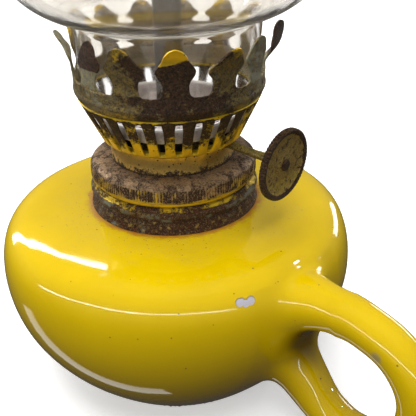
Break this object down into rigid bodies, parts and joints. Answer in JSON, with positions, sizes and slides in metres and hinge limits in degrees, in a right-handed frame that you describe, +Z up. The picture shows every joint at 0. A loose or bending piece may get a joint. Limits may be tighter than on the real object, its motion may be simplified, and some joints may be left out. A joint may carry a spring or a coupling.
{
  "type": "hand oil lamp",
  "caption": "Hand oil lamp: glazed ceramic font with a finger loop, screw-in brass burner with a pronged gallery and wick raiser, clear glass chimney.",
  "frame": {"origin": "centre of the flat foot, on the surface that the lamp stands on", "axes": "+Z up along the lamp's axis, +X towards the middle of the finger handle"},
  "size_m": [0.1735, 0.125, 0.2636],
  "materials": {
    "yellow_glaze": "glossy saturated yellow glaze",
    "plaster": "matte plaster",
    "collar_brass": "rusted brass-plated steel",
    "washer_brass": "dull yellow brass",
    "screw_ring_brass": "grey-brown patina, knurled side",
    "burner_brass": "olive-gold brass with dark pits",
    "basket_brass": "yellow brass with dark rust",
    "gallery_brass": "dark rust over olive brass",
    "pan_aluminium": "matte pale metal",
    "tube_steel": "dark aged steel",
    "spindle_brass": "olive brass wire",
    "wheel_brass": "olive brass with a dark brown rim",
    "wick_cotton": "woven cotton, charred tip",
    "clear_glass": "clear polished glass"
  },
  "bodies": {
    "font": {"font_body": "yellow_glaze", "font_shoulder": "yellow_glaze", "finger_handle": "yellow_glaze", "neck_cement": "plaster", "font_collar": "collar_brass"},
    "washer": {"burner_washer": "washer_brass"},
    "burner": {"burner_screw_ring": "screw_ring_brass", "burner_base_plate": "burner_brass", "burner_drum": "burner_brass", "air_basket": "basket_brass", "prong_gallery": "gallery_brass", "diffuser_pan": "pan_aluminium", "wick_tube": "tube_steel", "vent_tube": "burner_brass", "raiser_housing": "tube_steel", "spindle_bush": "burner_brass"},
    "raiser": {"raiser_spindle": "spindle_brass", "drive_sprocket_inner": "tube_steel", "drive_sprocket_outer": "tube_steel", "thumbwheel": "wheel_brass", "thumbwheel_rivet": "wheel_brass"},
    "wick": {"wick": "wick_cotton"},
    "chimney": {"chimney": "clear_glass"}
  },
  "joints": [
    {"name": "burner_lift", "type": "slide", "parent": "font", "child": "washer", "axis": [0, 0, 1], "range_m": [0, 0.13]},
    {"name": "burner_unscrew", "type": "hinge", "parent": "washer", "child": "burner", "pos_m": [0, 0, 0.0746], "axis": [0, 0, 1], "range_deg": [0, 1080]},
    {"name": "wick_raiser", "type": "hinge", "parent": "burner", "child": "raiser", "pos_m": [-0.00044, 0.00418, 0.0887], "axis": [-0.9933, -0.1044, 0.0488], "range_deg": [-176, 88]},
    {"name": "wick_feed", "type": "slide", "parent": "burner", "child": "wick", "axis": [0, 0, 1], "range_m": [-0.0088, 0.0044]},
    {"name": "chimney_lift", "type": "slide", "parent": "burner", "child": "chimney", "axis": [0, 0, 1], "range_m": [0, 0.12]}
  ],
  "couplings": [
    {"joint": "wick_feed", "follows": "wick_raiser", "m_per_rad": 0.0028}
  ]
}
